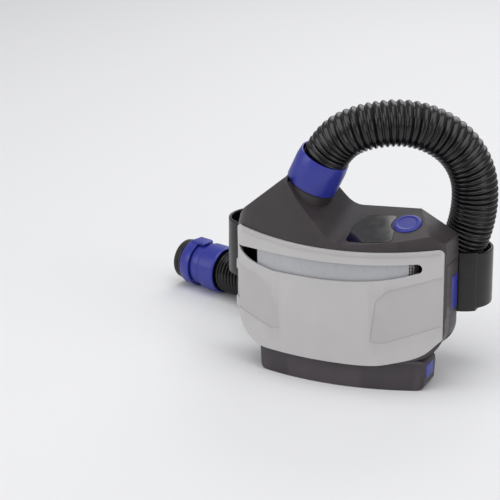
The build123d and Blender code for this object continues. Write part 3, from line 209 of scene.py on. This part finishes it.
@dataclass(frozen=True)
class WovenWire:
    """Woven stainless wire: bright crossings over holes drawn near-black, a painted shade of the cavity
    behind.

    The real wires stand 0.5 mm apart; they are drawn coarser so that they show.
    """

    name: str = "stainless_woven_wire"
    wire: str = "#8C8A8C"
    # painted shade: the see-through holes drawn near-black for the shaded cavity behind the mesh
    painted_hole_shade: str = "#141416"
    pitch_mm: float = 1.6

    def build(self) -> bpy.types.Material:
        """Make the material.

        Returns:
            The finished material.
        """
        material, tree = fresh_tree(self.name)
        place = add_node(tree, "TexCoord").outputs["Object"]
        waves = []
        for direction in ("X", "Z"):
            wave = add_node(tree, "TexWave", {"bands_direction": direction}, Vector=place,
                Scale=per_metre(self.pitch_mm) / 20 * math.pi)
            waves.append(wave.outputs["Fac"])
        cross = add_node(tree, "Math", {"operation": "MAXIMUM"}, _0=waves[0], _1=waves[1])
        mask = add_node(tree, "MapRange", Value=cross.outputs[0], From_Min=0.55, From_Max=0.9, To_Min=0.0,
            To_Max=1.0)
        # holes get the painted shade colour, wires their own colour
        colour = add_node(tree, "Mix", {"data_type": "RGBA"}, _0=mask.outputs["Result"], _6=linear(self.painted_hole_shade),
            _7=linear(self.wire))
        bump = add_node(tree, "Bump", Strength=0.8, Distance=0.0005, Height=cross.outputs[0])
        shader = add_node(tree, "BsdfPrincipled", Base_Color=colour.outputs[2], Metallic=0.7, Roughness=0.38,
            Normal=bump.outputs["Normal"])
        add_node(tree, "OutputMaterial", Surface=shader.outputs["BSDF"])
        return material


@dataclass(frozen=True)
class SmokedWindow:
    """Polished polycarbonate over a black mask: near-black with a sharp reflection."""

    name: str = "smoked_polycarbonate_polished"
    colour: str = "#0C0A0C"

    def build(self) -> bpy.types.Material:
        """Make the material.

        Returns:
            The finished material.
        """
        material, tree = fresh_tree(self.name)
        place = add_node(tree, "TexCoord").outputs["Object"]
        smudge = add_node(tree, "TexNoise", Vector=place, Scale=per_metre(9), Detail=4.0)
        gloss = add_node(tree, "MapRange", Value=smudge.outputs["Fac"], From_Min=0.35, From_Max=0.7,
            To_Min=0.05,
            To_Max=0.13)
        shader = add_node(tree, "BsdfPrincipled", Base_Color=linear(self.colour),
            Roughness=gloss.outputs["Result"],
            IOR=1.585, Coat_Weight=0.6, Coat_Roughness=0.04)
        add_node(tree, "OutputMaterial", Surface=shader.outputs["BSDF"])
        return material


@dataclass(frozen=True)
class Fibre:
    """Pressed fibres or open foam: soft, matt and mottled."""

    name: str
    colour: str
    shade: str
    fibre_mm: float

    def build(self) -> bpy.types.Material:
        """Make the material.

        Returns:
            The finished material.
        """
        material, tree = fresh_tree(self.name)
        place = add_node(tree, "TexCoord").outputs["Object"]
        cells = add_node(tree, "TexVoronoi", Vector=place, Scale=per_metre(self.fibre_mm))
        tint = add_node(tree, "Mix", {"data_type": "RGBA"}, _0=cells.outputs["Distance"],
            _6=linear(self.shade),
            _7=linear(self.colour))
        bump = add_node(tree, "Bump", Strength=0.5, Distance=0.0005, Height=cells.outputs["Distance"])
        shader = add_node(tree, "BsdfPrincipled", Base_Color=tint.outputs[2], Roughness=0.9, Sheen_Weight=0.3,
            Normal=bump.outputs["Normal"])
        add_node(tree, "OutputMaterial", Surface=shader.outputs["BSDF"])
        return material


class Finish(Enum):
    """Finishes of the respirator's pieces, each named for its stuff and how it was made."""

    CASING = Moulded("abs_charcoal_spark_eroded", "#3A3436", "#342E30", 0.42, grain_mm=0.8, relief=0.22,
        edge=0.4)
    COVER = Moulded("abs_light_grey_moulded", "#C2BFBE", "#BCB9B8", 0.42, grain_mm=0.8, relief=0.10,
        edge=0.12)
    BATTERY = Moulded("abs_dark_grey_moulded", "#423C40", "#3A3438", 0.46, grain_mm=0.8, relief=0.22,
        edge=0.35)
    BLUE = Moulded("nylon_blue_moulded", "#2F369C", "#2B3294", 0.36, grain_mm=1.2, relief=0.02, coat=0.1,
        edge=0.12)
    HOSE = Moulded("tpu_black_corrugated", "#100F11", "#0C0B0D", 0.22, grain_mm=1.0, relief=0.02, edge=0.06)
    BELT = Moulded("tpu_black_coated_webbing", "#111012", "#0E0D0F", 0.30, grain_mm=1.4, relief=0.05,
        edge=0.08)
    BLACK = Moulded("nylon_black_moulded", "#232226", "#1C1B1F", 0.42, relief=0.15)
    WHITE = Moulded("pbt_natural_moulded", "#D8D6CE", "#CFCCC3", 0.45, edge=0.0)
    SEAL = Moulded("silicone_black_moulded", "#28282A", "#202022", 0.6, edge=0.0)
    LABEL = Moulded("polyester_silver_film", "#B9BABD", "#B1B2B6", 0.28, grain_mm=2.0, relief=0.03,
        coat=0.4, edge=0.0)
    CELL = Moulded("pvc_green_shrink_sleeve", "#2E7A4E", "#276C45", 0.35, edge=0.0)
    BOARD = Moulded("glass_epoxy_green_masked", "#1F5A34", "#184A2A", 0.35, edge=0.0)
    LIGHT = Moulded("acrylic_green_light_pipe", "#7FC48A", "#6FB57B", 0.2, edge=0.0)
    STEEL = Metal("steel_zinc_plated", "#B4B4B6", 0.32)
    BRASS = Metal("brass_plated_stamped", "#D8B168", 0.28)
    WIRE = WovenWire()
    WINDOW = SmokedWindow()
    FOAM = Fibre("polyester_foam_open_cell", "#A9A59E", "#5E5B56", 1.4)
    PAPER = Fibre("glass_fibre_paper_pleated", "#ECEAE2", "#D8D5CB", 2.2)

    @property
    def material(self) -> bpy.types.Material:
        """The finish's material, made once."""
        return bpy.data.materials.get(self.value.name) or self.value.build()


SLOT_FINISH = {
    "casing": Finish.CASING, "cover_plastic": Finish.COVER, "battery_plastic": Finish.BATTERY,
    "blue_plastic": Finish.BLUE, "hose_rubber": Finish.HOSE, "belt_polymer": Finish.BELT,
    "black_plastic": Finish.BLACK, "white_plastic": Finish.WHITE, "seal_rubber": Finish.SEAL,
    "foam": Finish.FOAM,
    "filter_paper": Finish.PAPER, "label_film": Finish.LABEL, "mesh_steel": Finish.WIRE,
    "steel": Finish.STEEL,
    "cell_can": Finish.CELL, "circuit_board": Finish.BOARD, "contact_metal": Finish.BRASS,
    "display_gloss": Finish.WINDOW, "indicator": Finish.LIGHT,
}


# ---------------------------------------------------------------- mesh tools
def new_piece(name: str, points: Iterable[Sequence[float]], faces: Iterable[Sequence[int]], finish: Finish,
        smooth_angle: float = 40.0) -> bpy.types.Object:
    """Make a mesh piece.

    Args:
        name: the piece's name.
        points: vertices in metres, in the object's frame.
        faces: vertex indices of each face.
        finish: the piece's finish.
        smooth_angle: edges sharper than this, in degrees, stay sharp.

    Returns:
        The new object.
    """
    mesh = bpy.data.meshes.new(name)
    mesh.from_pydata([tuple(p) for p in points], [], [tuple(f) for f in faces])
    mesh.validate()
    shade(mesh, smooth_angle)
    mesh.materials.append(finish.material)
    piece = bpy.data.objects.new(name, mesh)
    bpy.context.scene.collection.objects.link(piece)
    return piece


def shade(mesh: bpy.types.Mesh, smooth_angle: float) -> None:
    """Smooth a mesh's shading except over its sharp edges.

    Args:
        mesh: the mesh.
        smooth_angle: edges sharper than this, in degrees, stay sharp.
    """
    mesh.shade_smooth()
    mesh.set_sharp_from_angle(angle=math.radians(smooth_angle))


def sweep_section(section: np.ndarray, origins: np.ndarray, across: np.ndarray, along: np.ndarray,
        closed_ends: bool = True) -> tuple[list, list]:
    """Sweep a closed section through given frames.

    Args:
        section: (n, 2) section points in metres.
        origins: (m, 3) centres.
        across: (m, 3) unit directions of the section's first axis.
        along: (m, 3) unit directions of the section's second axis.
        closed_ends: whether the two ends are capped.

    Returns:
        Vertices and faces.
    """
    count = len(section)
    points = [o + a * u + b * v for o, a, b in zip(origins, across, along) for u, v in section]
    faces = [[row * count + i, row * count + (i + 1) % count, (row + 1) * count + (i + 1) % count,
        (row + 1) * count + i]
        for row in range(len(origins) - 1) for i in range(count)]
    if closed_ends:
        faces.append(list(range(count))[::-1])
        last = (len(origins) - 1) * count
        faces.append(list(range(last, last + count)))
    return points, faces


def rounded_section(width: float, height: float, radius: float, steps: int = 5) -> np.ndarray:
    """Rectangle with round corners.

    Args:
        width: first size in metres.
        height: second size in metres.
        radius: corner radius in metres.
        steps: points per corner.

    Returns:
        The section's points.
    """
    points = []
    for turn, (sx, sy) in enumerate(((1, 1), (-1, 1), (-1, -1), (1, -1))):
        for step in range(steps + 1):
            angle = math.radians(90 * turn + 90 * step / steps)
            points.append((sx * (width / 2 - radius) + radius * math.cos(angle),
                sy * (height / 2 - radius) + radius * math.sin(angle)))
    return np.array(points)


def softened(node: str, width_mm: float, finish: Finish, angle: float = 30.0) -> bpy.types.Object:
    """Stand a copy of a frame node in its place, with its sharp edges rounded.

    Args:
        node: the frame node.
        width_mm: the rounding's width.
        finish: the copy's finish.
        angle: edges sharper than this, in degrees, are rounded.

    Returns:
        The new piece, which stands for the node.
    """
    source = frame["nodes"][node]
    mesh = source.data.copy()
    mesh.name = node + "_moulding"
    shaper = bmesh.new()
    shaper.from_mesh(mesh)
    bmesh.ops.remove_doubles(shaper, verts=shaper.verts, dist=1e-6)
    bmesh.ops.dissolve_limit(shaper, angle_limit=math.radians(0.6), verts=shaper.verts, edges=shaper.edges)
    shaper.to_mesh(mesh)
    shaper.free()
    mesh.materials.clear()
    mesh.materials.append(finish.material)
    piece = bpy.data.objects.new(node + "_moulding", mesh)
    bpy.context.scene.collection.objects.link(piece)
    bevel = piece.modifiers.new("rounding", "BEVEL")
    bevel.width = width_mm * MM
    bevel.segments = 3
    bevel.limit_method = "ANGLE"
    bevel.angle_limit = math.radians(angle)
    graph = bpy.context.evaluated_depsgraph_get()
    rounded = bpy.data.meshes.new_from_object(piece.evaluated_get(graph))
    piece.modifiers.clear()
    piece.data = rounded
    shade(rounded, 35)
    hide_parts(node)
    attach(piece, body_named(node))
    return piece


def body_named(node: str) -> str:
    """Body that a frame node moves with."""
    bodies = frame["record"]["behaviour"]["bodies"]
    return next(name for name, nodes in bodies.items() if node in nodes)


def place(piece: bpy.types.Object, body: str, slot: str) -> bpy.types.Object:
    """Ride a piece on a body and log its face count.

    Args:
        piece: the piece.
        body: the body's name.
        slot: not used.

    Returns:
        The same piece.
    """
    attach(piece, body)
    LOG.info("%s: %d faces on %s", piece.name, len(piece.data.polygons), body)
    return piece


# ---------------------------------------------------------------- breathing hose
@dataclass
class BreathingHose:
    """Corrugated hose from the unit's outlet over to its far connector.

    Sizes in metres. The route's points stand in the object's frame.
    """

    diameter: float = 0.045
    rib_depth: float = 0.0026
    wide_pitch: float = 0.0068
    close_pitch: float = 0.0043
    crest_at: float = 0.12
    crest_spread: float = 0.09
    plain_start: float = 0.016
    plain_end: float = 0.011
    fade_length: float = 0.004
    step: float = 0.0006
    segments: int = 64
    route: list[tuple[float, float, float]] = field(default_factory=lambda: [
        (-0.03878, 0.012, 0.20109),
        (-0.02526, 0.012, 0.23009),
        (0.002, 0.014, 0.2495),
        (0.046, 0.034, 0.255),
        (0.082, 0.054, 0.236),
        (0.101, 0.066, 0.202),
        (0.101, 0.07, 0.16),
        (0.0885, 0.07, 0.12),
        (0.068, 0.069, 0.076),
        (0.028, 0.078, 0.040),
        (-0.030, 0.100, 0.0226),
        (-0.088, 0.1215, 0.0226),
        (-0.14964, 0.14831, 0.0247),
        (-0.21051, 0.16809, 0.0247),
    ])

    def centreline(self) -> np.ndarray:
        """Read points along the route's smooth curve.

        Returns:
            (n, 3) points in metres.
        """
        data = bpy.data.curves.new("hose_route", "CURVE")
        data.dimensions = "3D"
        spline = data.splines.new("NURBS")
        spline.points.add(len(self.route) - 1)
        for point, spot in zip(spline.points, self.route):
            point.co = (*spot, 1.0)
        spline.order_u = 3
        spline.use_endpoint_u = True
        spline.resolution_u = 32
        holder = bpy.data.objects.new("hose_route", data)
        bpy.context.scene.collection.objects.link(holder)
        line = bpy.data.meshes.new_from_object(holder.evaluated_get(bpy.context.evaluated_depsgraph_get()))
        points = np.array([v.co[:] for v in line.vertices])
        bpy.data.objects.remove(holder)
        bpy.data.meshes.remove(line)
        return points

    def frames(self, points: np.ndarray) -> tuple[np.ndarray, np.ndarray, np.ndarray, np.ndarray]:
        """Even stations along the curve, with two directions square to it that don't twist.

        Args:
            points: the curve's points.

        Returns:
            Distances along it, centres, and the two directions.
        """
        lengths = np.concatenate([[0], np.cumsum(np.linalg.norm(np.diff(points, axis=0), axis=1))])
        distances = np.linspace(0, lengths[-1], int(lengths[-1] / self.step))
        centres = np.stack([np.interp(distances, lengths, points[:, axis]) for axis in range(3)], axis=1)
        window = np.hanning(23)
        window /= window.sum()
        padded = np.concatenate([2 * centres[0] - centres[11:0:-1], centres,
            2 * centres[-1] - centres[-2:-13:-1]])
        centres = np.stack([np.convolve(padded[:, axis], window, "valid") for axis in range(3)], axis=1)
        tangents = np.gradient(centres, axis=0)
        tangents /= np.linalg.norm(tangents, axis=1)[:, None]
        first = [np.cross(tangents[0], (0.0, 1.0, 0.0))]
        for tangent in tangents[1:]:
            carried = first[-1] - tangent * np.dot(first[-1], tangent)
            first.append(carried / np.linalg.norm(carried))
        first = np.array(first)
        first /= np.linalg.norm(first, axis=1)[:, None]
        return distances, centres, first, np.cross(tangents, first)

    def radii(self, distances: np.ndarray) -> np.ndarray:
        """Ribbed outside radius along the hose.

        Args:
            distances: distances along the hose.

        Returns:
            The radius at each distance.
        """
        pitch = self.close_pitch + (self.wide_pitch - self.close_pitch) * np.exp(
            -(((distances - self.crest_at) / self.crest_spread) ** 2))
        phase = np.concatenate([[0], np.cumsum(np.diff(distances) / pitch[1:])])
        crest = (0.5 + 0.5 * np.cos(2 * math.pi * phase)) ** 0.5
        end = distances[-1]
        near = np.clip((distances - self.plain_start) / self.fade_length, 0, 1)
        far = np.clip((end - self.plain_end - distances) / self.fade_length, 0, 1)
        fade = near * far
        ribbed = self.diameter / 2 - self.rib_depth * (1 - crest)
        plain = self.diameter / 2 - self.rib_depth * 0.8
        return plain + (ribbed - plain) * fade

    def build(self) -> bpy.types.Object:
        """Returns:
            The hose.
        """
        line = self.centreline()
        distances, centres, first, second = self.frames(line)
        radii = self.radii(distances)
        angles = np.linspace(0, 2 * math.pi, self.segments, endpoint=False)
        circle = np.stack([np.cos(angles), np.sin(angles)], axis=1)
        points = [c + r * (f * u + s * v) for c, r, f, s in zip(centres, radii, first, second)
            for u, v in circle]
        count, rows = self.segments, len(centres)
        faces = [[row * count + i, row * count + (i + 1) % count, (row + 1) * count + (i + 1) % count,
            (row + 1) * count + i] for row in range(rows - 1) for i in range(count)]
        faces.append(list(range(count))[::-1])
        faces.append(list(range((rows - 1) * count, rows * count)))
        hose = new_piece("corrugated_hose", points, faces, Finish.HOSE, smooth_angle=70)
        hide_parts("breathing_tube")
        place(hose, "root", "hose_rubber")
        return hose


# ---------------------------------------------------------------- belt
@dataclass
class WaistBelt:
    """Wipe-clean belt, shown closed in a small loop behind the unit. Sizes in metres."""

    thickness: float = 0.003
    edge_radius: float = 0.0014
    gap_half: float = 0.020
    arc_steps: int = 40

    def loop(self) -> tuple[np.ndarray, np.ndarray]:
        """Centreline of the loop and its outward directions, from one side of the buckle to the other.

        Returns:
            (n, 3) points and (n, 3) outward unit directions.
        """
        low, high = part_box("belt")
        buckle_low, buckle_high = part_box("buckle_socket")
        gap_x = buckle_high[0]
        mid_y, mid_z = (low[1] + high[1]) / 2, (low[2] + high[2]) / 2
        radius = (high[1] - low[1]) / 2 - self.thickness / 2
        left, right = low[0] + (high[1] - low[1]) / 2, high[0] - (high[1] - low[1]) / 2
        spots, outward = [], []
        for x in np.linspace(gap_x + self.gap_half, right, 24)[:-1]:
            spots.append((x, mid_y + radius, mid_z))
            outward.append((0, 1, 0))
        for angle in np.linspace(90, -90, self.arc_steps):
            turn = math.radians(angle)
            spots.append((right + radius * math.cos(turn), mid_y + radius * math.sin(turn), mid_z))
            outward.append((math.cos(turn), math.sin(turn), 0))
        for x in np.linspace(right, left, 40)[1:-1]:
            spots.append((x, mid_y - radius, mid_z))
            outward.append((0, -1, 0))
        for angle in np.linspace(-90, -270, self.arc_steps):
            turn = math.radians(angle)
            spots.append((left + radius * math.cos(turn), mid_y + radius * math.sin(turn), mid_z))
            outward.append((math.cos(turn), math.sin(turn), 0))
        for x in np.linspace(left, gap_x - self.gap_half, 16)[1:]:
            spots.append((x, mid_y + radius, mid_z))
            outward.append((0, 1, 0))
        return np.array(spots), np.array(outward, float)

    def build(self) -> None:
        """Make the belt's strap, tail, keepers and buckle."""
        low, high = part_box("belt")
        spots, outward = self.loop()
        section = rounded_section(self.thickness, high[2] - low[2], self.edge_radius)
        up = np.tile((0.0, 0.0, 1.0), (len(spots), 1))
        strap = new_piece("belt_strap", *sweep_section(section, spots, outward, up), Finish.BELT)
        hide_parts("belt")
        place(strap, "root", "belt_polymer")
        softened("belt_tail", 0.9, Finish.BELT)
        softened("belt_keepers", 0.5, Finish.BELT)
        softened("buckle_plug", 1.0, Finish.BLACK)
        softened("buckle_socket", 1.0, Finish.BLACK)
        softened("belt_bracket", 0.8, Finish.BLACK)


# ---------------------------------------------------------------- unit
@dataclass
class BlowerUnit:
    """The casing, its cover and controls. Sizes in metres."""

    front_radius: float = 0.235
    front_centre_x: float = -0.012
    front_y: float = -0.026
    skin: float = 0.0024
    top_left: float = 0.1425
    top_rise: float = 0.0020
    top_dip: float = 0.0052
    lip_drop: float = 0.0003
    lip_height: float = 0.0042
    lip_proud: float = 0.0009
    lip_ends: tuple[float, float] = (-0.1085, 0.0925)
    rim_steps: int = 72
    rim_profile: tuple[tuple[float, float], ...] = (
        (8.2, -0.05), (9.2, 0.14), (10.2, 0.36), (11.2, 0.46), (12.1, 0.34), (12.7, -0.05))

    def face_y(self, x: float) -> float:
        """Depth of the cover's outer face.

        Args:
            x: distance across the unit.

        Returns:
            The face's Y.
        """
        centre = self.front_y + self.front_radius
        return centre - math.sqrt((self.front_radius + self.skin) ** 2 - (x - self.front_centre_x) ** 2)

    def top_z(self, x: float) -> float:
        """Height of the cover's top edge, an arc that dips in the middle.

        Args:
            x: distance across the unit.

        Returns:
            The edge's Z.
        """
        left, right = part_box("filter_cover")[0][0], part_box("filter_cover")[1][0]
        share = (x - left) / (right - left)
        return self.top_left + self.top_rise * share - self.top_dip * 4 * share * (1 - share)

    def dress_frame(self) -> None:
        """Give every frame node its finish."""
        for part in frame["record"]["subparts"]:
            node = frame["nodes"][part["node"]]
            for slot in node.material_slots:
                slot.material = SLOT_FINISH[part["material_slot"]].material

    def build_lip(self) -> None:
        """Raised lip along the cover's top edge."""
        xs = np.linspace(*self.lip_ends, 90)
        section = rounded_section(2 * self.lip_proud, self.lip_height, self.lip_proud * 0.95)
        origins = np.array([(x, self.face_y(x), self.top_z(x) - self.lip_height / 2 - self.lip_drop)
            for x in xs])
        centre_y = self.front_y + self.front_radius
        out = np.array([Vector((x - self.front_centre_x, self.face_y(x) - centre_y, 0)).normalized()
            for x in xs])
        up = np.tile((0.0, 0.0, 1.0), (len(xs), 1))
        points, faces = sweep_section(section, origins, out, up)
        place(new_piece("cover_top_lip", points, faces, Finish.COVER), "cover", "cover_plastic")

    def soften_mouldings(self) -> None:
        """Round the outer mouldings' edges, which catch the light."""
        for node, width_mm, finish in (
            ("rear_shell", 0.6, Finish.CASING),
            ("battery_case", 0.9, Finish.BATTERY),
            ("latch_panel", 0.5, Finish.CASING),
            ("cover_latch", 0.5, Finish.BLUE),
            ("battery_latch", 0.5, Finish.BLUE),
            ("bayonet_collar", 0.7, Finish.BLUE),
            ("far_sleeve", 0.5, Finish.BLUE),
            ("release_ring", 0.5, Finish.BLUE),
        ):
            softened(node, width_mm, finish)

    def build_button_rim(self) -> None:
        """Raised rim that makes the button's top a shallow dish."""
        button = frame["nodes"]["on_off_button"]
        spots = [button.matrix_world @ vertex.co for vertex in button.data.vertices]
        widest = max(button.data.polygons, key=lambda face: face.area)
        normal = (button.matrix_world.to_3x3() @ widest.normal).normalized()
        if normal.z < 0:
            normal.negate()
        peak = max(spot.dot(normal) for spot in spots)
        top = [spot for spot in spots if peak - spot.dot(normal) < 2e-5]
        centre = sum(top, Vector()) / len(top)
        first = normal.orthogonal().normalized()
        second = normal.cross(first)
        turns = [2 * math.pi * step / self.rim_steps for step in range(self.rim_steps)]
        points = [centre + radius * MM * (math.cos(turn) * first + math.sin(turn) * second)
            + height * MM * normal
            for turn in turns for radius, height in self.rim_profile]
        count = len(self.rim_profile)
        faces = [[step * count + i, ((step + 1) % self.rim_steps) * count + i,
            ((step + 1) % self.rim_steps) * count + i + 1, step * count + i + 1]
            for step in range(self.rim_steps) for i in range(count - 1)]
        place(new_piece("button_rim", points, faces, Finish.BLUE), "on_off_button", "blue_plastic")

    def build(self) -> None:
        """Dress the frame and make the unit's own pieces."""
        self.dress_frame()
        self.build_lip()
        self.soften_mouldings()
        self.build_button_rim()


# ---------------------------------------------------------------- studio
@dataclass
class Studio:
    """Pale floor, soft lights and the camera. Sizes in metres."""

    camera_spot: tuple[float, float, float] = (0.7966, -2.1002, 0.9383)
    yaw: float = 113.208
    pitch: float = -19.80
    lens: float = 180.0
    floor_size: float = 12.0

    def build(self) -> None:
        """Make the floor, the lights and the camera."""
        self.build_floor()
        self.build_lights()
        self.build_camera()

    def build_floor(self) -> None:
        """Plain pale floor."""
        half = self.floor_size / 2
        corners = [(-half, -half, 0), (half, -half, 0), (half, half, 0), (-half, half, 0)]
        mesh = bpy.data.meshes.new("floor")
        mesh.from_pydata(corners, [], [(0, 1, 2, 3)])
        floor = bpy.data.objects.new("floor", mesh)
        bpy.context.scene.collection.objects.link(floor)
        material, tree = fresh_tree("paper_white_backdrop")
        shader = add_node(tree, "BsdfPrincipled", Base_Color=linear("#F4F4F4"), Roughness=0.9)
        add_node(tree, "OutputMaterial", Surface=shader.outputs["BSDF"])
        mesh.materials.append(material)

    def build_lights(self) -> None:
        """A broad top light, two side lights and an even surround."""
        world = bpy.data.worlds.new("surround")
        world.use_nodes = True
        world.node_tree.nodes["Background"].inputs["Color"].default_value = (0.95, 0.96, 1.0, 1.0)
        world.node_tree.nodes["Background"].inputs["Strength"].default_value = 0.40
        bpy.context.scene.world = world
        for name, spot, size, power in (
            ("top", (0.1, -0.2, 1.7), 1.6, 13.0),
            ("left", (-1.5, -1.1, 0.9), 1.2, 8.0),
            ("right", (1.6, -0.5, 0.8), 1.0, 5.0),
            ("back", (-0.2, 1.5, 1.2), 1.2, 8.0),
        ):
            data = bpy.data.lights.new(name, "AREA")
            data.size = size
            data.energy = power
            lamp = bpy.data.objects.new(name, data)
            lamp.location = spot
            lamp.rotation_euler = (Vector((0, 0.03, 0.1)) - Vector(spot)).to_track_quat("-Z", "Y").to_euler()
            bpy.context.scene.collection.objects.link(lamp)
        bpy.context.scene.view_settings.view_transform = "Standard"

    def build_camera(self) -> None:
        """Camera at the product view."""
        data = bpy.data.cameras.new("camera")
        data.lens = self.lens
        data.sensor_width = 36.0
        camera = bpy.data.objects.new("camera", data)
        yaw, pitch = math.radians(self.yaw), math.radians(self.pitch)
        look = Vector((math.cos(yaw) * math.cos(pitch), math.sin(yaw) * math.cos(pitch), math.sin(pitch)))
        camera.location = self.camera_spot
        camera.rotation_euler = look.to_track_quat("-Z", "Y").to_euler()
        bpy.context.scene.collection.objects.link(camera)
        bpy.context.scene.camera = camera


def main() -> None:
    """Build the respirator and its studio."""
    logging.basicConfig(level=logging.INFO)
    Studio().build()
    BlowerUnit().build()
    BreathingHose().build()
    WaistBelt().build()


if __name__ == "__main__":
    main()
